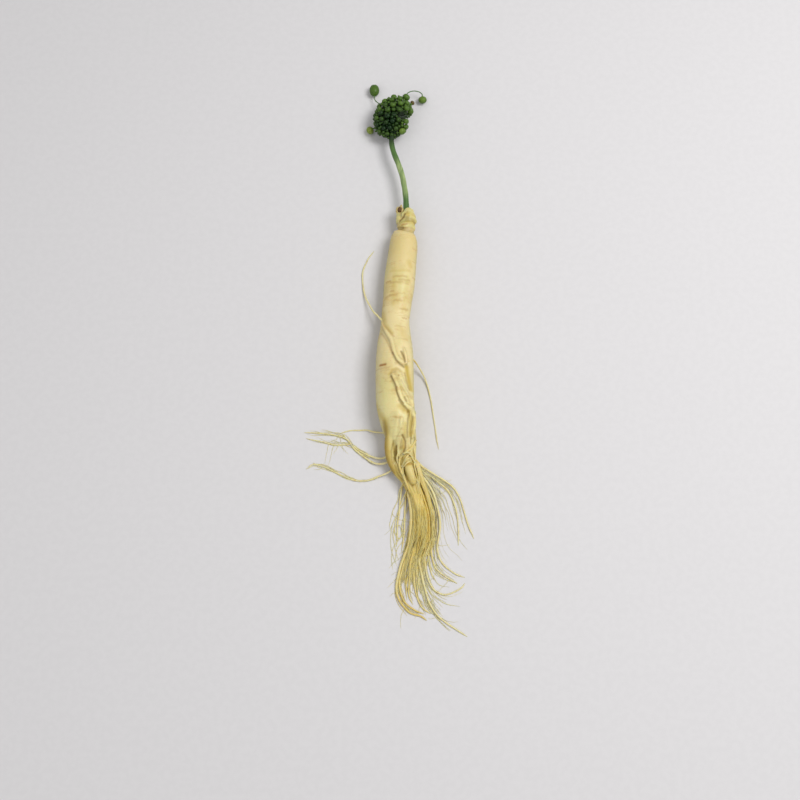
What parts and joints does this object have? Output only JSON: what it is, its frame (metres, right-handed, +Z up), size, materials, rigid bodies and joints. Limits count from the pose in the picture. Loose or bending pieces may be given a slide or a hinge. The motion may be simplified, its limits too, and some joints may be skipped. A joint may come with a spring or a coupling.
{
  "type": "ginseng root",
  "caption": "Fresh ginseng root lying flat, with its ringed neck, forked legs, long fine rootlets, fruit stalk and a round head of green berries.",
  "frame": {"origin": "on the surface that the plant lies on, under the middle of its box", "axes": "+Z up from the surface; +Y from the rootlet tips to the berries; +X to the right seen from above"},
  "size_m": [0.084, 0.2916, 0.0195],
  "materials": {
    "root_skin": "satin, moist cream-yellow root skin",
    "stalk_skin": "satin green plant skin",
    "berry_outer": "glossy bright green fruit skin",
    "berry_inner": "glossy dark green fruit skin"
  },
  "bodies": {
    "root": {"ginseng_root": "root_skin", "fruit_stalk": "stalk_skin", "berry_01": "berry_outer", "berry_02": "berry_outer", "berry_03": "berry_outer", "berry_04": "berry_outer", "berry_05": "berry_outer", "berry_06": "berry_outer", "berry_07": "berry_outer", "berry_08": "berry_outer", "berry_09": "berry_inner", "berry_10": "berry_inner", "berry_11": "berry_inner", "berry_12": "berry_inner", "berry_13": "berry_inner", "berry_14": "berry_inner", "berry_15": "berry_inner", "berry_16": "berry_inner", "berry_17": "berry_inner", "berry_18": "berry_inner", "berry_19": "berry_inner", "berry_20": "berry_inner", "berry_21": "berry_inner", "berry_22": "berry_inner", "berry_23": "berry_inner", "berry_24": "berry_inner", "berry_25": "berry_inner", "berry_26": "berry_inner", "berry_27": "berry_inner", "berry_28": "berry_inner", "berry_29": "berry_inner", "berry_30": "berry_inner", "berry_31": "berry_inner", "berry_32": "berry_inner", "berry_33": "berry_inner", "berry_34": "berry_inner", "berry_35": "berry_inner", "berry_36": "berry_inner", "berry_37": "berry_inner", "berry_38": "berry_inner", "berry_39": "berry_inner", "berry_40": "berry_inner", "berry_41": "berry_inner", "berry_42": "berry_inner", "berry_43": "berry_inner", "berry_44": "berry_inner", "berry_45": "berry_inner", "berry_46": "berry_inner", "berry_47": "berry_inner", "berry_48": "berry_inner", "berry_49": "berry_inner", "berry_50": "berry_inner", "berry_51": "berry_inner", "berry_52": "berry_inner", "berry_53": "berry_inner", "berry_54": "berry_inner", "berry_55": "berry_inner", "berry_56": "berry_inner", "berry_57": "berry_inner", "berry_58": "berry_inner"}
  },
  "joints": []
}
